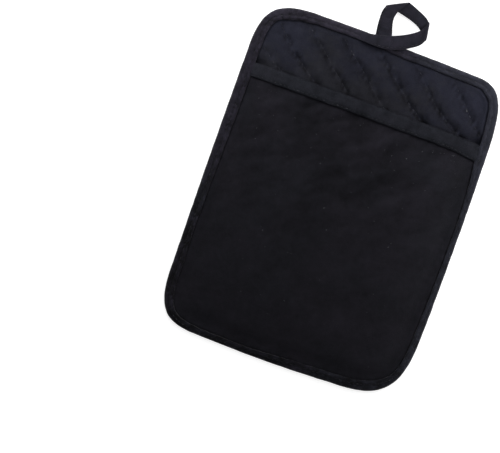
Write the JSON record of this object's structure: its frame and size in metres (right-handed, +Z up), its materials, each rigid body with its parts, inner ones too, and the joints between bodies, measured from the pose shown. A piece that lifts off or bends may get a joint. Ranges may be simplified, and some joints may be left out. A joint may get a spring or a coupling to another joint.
{
  "type": "pot holder",
  "caption": "Flat rectangular quilted pot holder with rounded corners, a taped edge, a hand pocket open at the top and a folded hanging loop.",
  "frame": {"origin": "under the middle of the whole object's box, on the surface that it lies on", "axes": "+Z up out of the pocket side, +Y towards the hanging loop, +X to the right seen from above with the loop at the top"},
  "size_m": [0.1912, 0.2812, 0.014],
  "materials": {
    "quilt_cloth": "black cotton, plain weave, quilted in diagonal channels",
    "pocket_cloth": "black cotton, smooth plain weave",
    "binding_tape": "black cotton tape, folded and topstitched"
  },
  "bodies": {
    "root": {"back_panel": "quilt_cloth", "pocket_panel": "pocket_cloth", "mouth_binding": "binding_tape", "edge_binding": "binding_tape", "hanging_loop": "binding_tape"}
  },
  "joints": []
}
